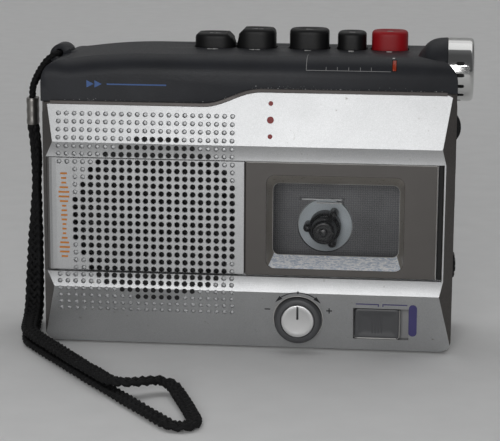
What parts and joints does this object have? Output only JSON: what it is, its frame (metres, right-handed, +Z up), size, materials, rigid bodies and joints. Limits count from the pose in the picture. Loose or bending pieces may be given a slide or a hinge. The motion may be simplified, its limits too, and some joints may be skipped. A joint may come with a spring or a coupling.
{
  "type": "cassette recorder",
  "caption": "Hand-held cassette recorder on its long side: hinged lid with speaker grille and window, top keys, microphone pod and braided hand strap.",
  "frame": {"origin": "middle of the base, without the hand strap", "axes": "+X to the right along the length, towards the microphone; -Y to the front with the lid; +Z up, towards the keys"},
  "size_m": [0.1217, 0.1066, 0.0832],
  "materials": {
    "silver_paint": "fine metallic silver paint",
    "smoke_plastic": "warm grey smoked panel",
    "clear_pane": "clear",
    "charcoal": "fine grained charcoal",
    "key_black": "satin black",
    "key_red": "satin deep red",
    "chrome": "polished",
    "knob_grey": "satin dark grey",
    "bright_cap": "spun",
    "amber": "orange lamp lens",
    "braid": "black braid",
    "ferrule": "grey sleeve",
    "deck": "dark slate",
    "reel_ring": "light blue grey",
    "spindle_black": "black",
    "steel": "plain",
    "bronze": "plain",
    "black_rubber": "plain",
    "paper": "pressed paper",
    "ferrite": "plain",
    "cell": "plain sleeve",
    "board": "circuit board",
    "chips": "plain"
  },
  "bodies": {
    "housing": {"rear_shell": "charcoal", "battery_box": "charcoal", "top_cover": "charcoal", "deck_frame": "deck", "chassis_plate": "steel", "key_guide": "deck", "capstan_bush": "bronze", "idler_post": "steel", "motor": "steel", "drive_belt": "black_rubber", "main_board": "board", "board_parts": "chips", "jack_sockets": "deck", "volume_pot": "steel", "voice_switch": "deck", "mic_cap": "chrome", "mic_capsule": "deck", "led_lens": "amber", "battery_cells": "cell", "battery_contacts": "steel", "battery_springs": "steel", "hinge_pins": "steel", "case_screws": "steel", "key_springs": "steel", "strap_cord": "braid", "strap_ferrule": "ferrule", "strap_loop": "braid"},
    "lid": {"lid_shell": "silver_paint", "grille_panel": "silver_paint", "window_panel": "smoke_plastic", "window_pane": "clear_pane", "speaker_frame": "steel", "speaker_cone": "paper", "speaker_magnet": "ferrite", "speed_pot": "steel", "mode_switch": "deck", "lid_catch": "deck"},
    "speed_knob": {"speed_knob": "knob_grey", "knob_cap": "bright_cap"},
    "mode_slider": {"mode_slider": "knob_grey"},
    "fast_forward_key": {"fast_forward_key": "key_black"},
    "rewind_key": {"rewind_key": "key_black"},
    "play_key": {"play_key": "key_black"},
    "stop_key": {"stop_key": "key_black"},
    "record_key": {"record_key": "key_red"},
    "head_carriage": {"head_plate": "steel", "play_head": "steel", "erase_head": "deck"},
    "pinch_roller": {"pinch_roller": "black_rubber"},
    "capstan": {"capstan_shaft": "steel", "flywheel": "steel"},
    "motor_pulley": {"motor_pulley": "bronze"},
    "idler": {"idler_wheel": "black_rubber"},
    "takeup_reel": {"takeup_disc": "reel_ring", "takeup_spindle": "spindle_black"},
    "supply_reel": {"supply_disc": "reel_ring", "supply_spindle": "spindle_black"},
    "volume_wheel": {"volume_wheel": "key_black"},
    "voice_slider": {"voice_slider": "key_black"},
    "battery_cover": {"battery_cover": "charcoal"}
  },
  "joints": [
    {"name": "lid_hinge", "type": "hinge", "parent": "housing", "child": "lid", "pos_m": [-0.0547, -0.012, 0.033], "axis": [0, 0, -1], "range_deg": [0, 35]},
    {"name": "speed_turn", "type": "hinge", "parent": "lid", "child": "speed_knob", "pos_m": [0.012, -0.017, 0.009], "axis": [0, 1, 0], "range_deg": [-135, 135]},
    {"name": "mode_slide", "type": "slide", "parent": "lid", "child": "mode_slider", "axis": [1, 0, 0], "range_m": [0, 0.002]},
    {"name": "fast_forward_press", "type": "slide", "parent": "housing", "child": "fast_forward_key", "axis": [0, 0, -1], "range_m": [0, 0.0035], "stiffness_N_per_m": 150, "springref_m": -0.002, "deforming": ["key_springs"]},
    {"name": "rewind_press", "type": "slide", "parent": "housing", "child": "rewind_key", "axis": [0, 0, -1], "range_m": [0, 0.0035], "stiffness_N_per_m": 150, "springref_m": -0.002, "deforming": ["key_springs"]},
    {"name": "play_press", "type": "slide", "parent": "housing", "child": "play_key", "axis": [0, 0, -1], "range_m": [0, 0.0035], "stiffness_N_per_m": 150, "springref_m": -0.002, "deforming": ["key_springs"]},
    {"name": "stop_press", "type": "slide", "parent": "housing", "child": "stop_key", "axis": [0, 0, -1], "range_m": [0, 0.0035], "stiffness_N_per_m": 150, "springref_m": -0.002, "deforming": ["key_springs"]},
    {"name": "record_press", "type": "slide", "parent": "housing", "child": "record_key", "axis": [0, 0, -1], "range_m": [0, 0.0035], "stiffness_N_per_m": 150, "springref_m": -0.002, "deforming": ["key_springs"]},
    {"name": "head_slide", "type": "slide", "parent": "housing", "child": "head_carriage", "axis": [0, 0, -1], "range_m": [0, 0.0035]},
    {"name": "roller_spin", "type": "hinge", "parent": "head_carriage", "child": "pinch_roller", "pos_m": [0.01965, -0.005, 0.0702], "axis": [0, 1, 0], "continuous": true},
    {"name": "capstan_spin", "type": "hinge", "parent": "housing", "child": "capstan", "pos_m": [0.01965, 0.003, 0.0614], "axis": [0, 1, 0], "continuous": true},
    {"name": "pulley_spin", "type": "hinge", "parent": "housing", "child": "motor_pulley", "pos_m": [-0.022, 0.013, 0.048], "axis": [0, 1, 0], "continuous": true},
    {"name": "idler_spin", "type": "hinge", "parent": "housing", "child": "idler", "pos_m": [0.01891, 0.0025, 0.04855], "axis": [0, 1, 0], "continuous": true},
    {"name": "takeup_spin", "type": "hinge", "parent": "housing", "child": "takeup_reel", "pos_m": [0.0179, -0.002, 0.031], "axis": [0, 1, 0], "continuous": true},
    {"name": "supply_spin", "type": "hinge", "parent": "housing", "child": "supply_reel", "pos_m": [-0.0246, -0.002, 0.031], "axis": [0, 1, 0], "continuous": true},
    {"name": "volume_turn", "type": "hinge", "parent": "housing", "child": "volume_wheel", "pos_m": [0.0432, 0.008, 0.019], "axis": [0, 1, 0], "range_deg": [-135, 135]},
    {"name": "voice_slide", "type": "slide", "parent": "housing", "child": "voice_slider", "axis": [0, 0, 1], "range_m": [-0.0015, 0.0015]},
    {"name": "battery_slide", "type": "slide", "parent": "housing", "child": "battery_cover", "axis": [-1, 0, 0], "range_m": [0, 0.058]}
  ],
  "couplings": [
    {"joint": "head_slide", "follows": "play_press", "ratio": 1},
    {"joint": "pulley_spin", "follows": "capstan_spin", "ratio": 4.4884},
    {"joint": "idler_spin", "follows": "capstan_spin", "ratio": -0.2421},
    {"joint": "takeup_spin", "follows": "capstan_spin", "ratio": 0.3472}
  ]
}
